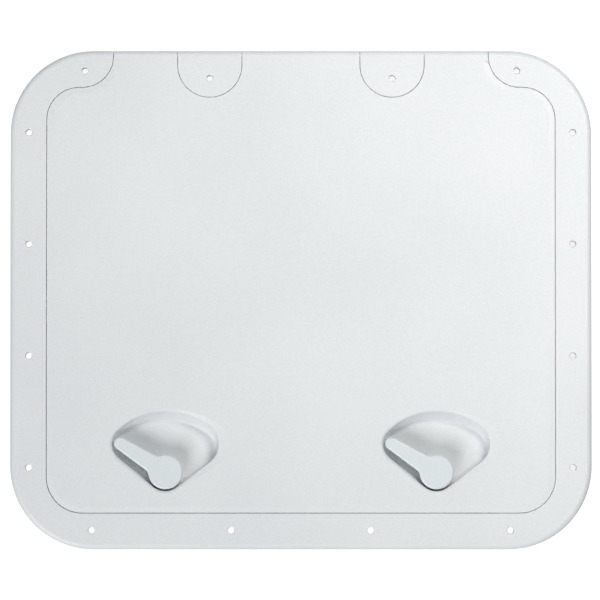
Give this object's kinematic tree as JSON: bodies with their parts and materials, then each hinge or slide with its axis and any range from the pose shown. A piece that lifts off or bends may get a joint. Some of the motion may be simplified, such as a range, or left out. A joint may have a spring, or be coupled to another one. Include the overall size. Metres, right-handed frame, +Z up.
{
  "type": "access hatch",
  "caption": "Flush deck access hatch: moulded flange frame with a spigot, hinged lid with moulded-in rear barrel, and turn latches whose handles lie in dished recesses.",
  "frame": {"origin": "middle of the flange outline, on the deck plane under the flange", "axes": "+X to the right along the hinge, +Y to the hinge side, +Z up out of the deck"},
  "size_m": [0.515, 0.442, 0.0385],
  "materials": {
    "white_moulding": "fine moulded grain, satin",
    "handle_moulding": "smooth satin",
    "nylon": "matt",
    "seal_rubber": "matt",
    "stainless": "bright, fine turned"
  },
  "bodies": {
    "frame": {"frame": "white_moulding", "lid_seal": "seal_rubber", "hinge_block_left": "white_moulding", "hinge_block_right": "white_moulding", "hinge_pin_left": "stainless", "hinge_pin_right": "stainless", "block_screw_1": "stainless", "block_screw_2": "stainless", "block_screw_3": "stainless", "block_screw_4": "stainless"},
    "lid": {"lid": "white_moulding"},
    "latch_left": {"latch_handle_left": "handle_moulding", "handle_o_ring_left": "seal_rubber", "thrust_washer_left": "nylon", "latch_cam_left": "nylon", "cam_washer_left": "stainless", "cam_screw_left": "stainless"},
    "latch_right": {"latch_handle_right": "handle_moulding", "handle_o_ring_right": "seal_rubber", "thrust_washer_right": "nylon", "latch_cam_right": "nylon", "cam_washer_right": "stainless", "cam_screw_right": "stainless"}
  },
  "joints": [
    {"name": "lid_hinge", "type": "hinge", "parent": "frame", "child": "lid", "pos_m": [0, 0.2165, 0.008], "axis": [-1, 0, 0], "range_deg": [0, 175]},
    {"name": "latch_left_turn", "type": "hinge", "parent": "lid", "child": "latch_left", "pos_m": [-0.12, -0.1525, 0], "axis": [0, 0, -1], "range_deg": [0, 115]},
    {"name": "latch_right_turn", "type": "hinge", "parent": "lid", "child": "latch_right", "pos_m": [0.12, -0.1525, 0], "axis": [0, 0, -1], "range_deg": [0, 115]}
  ]
}
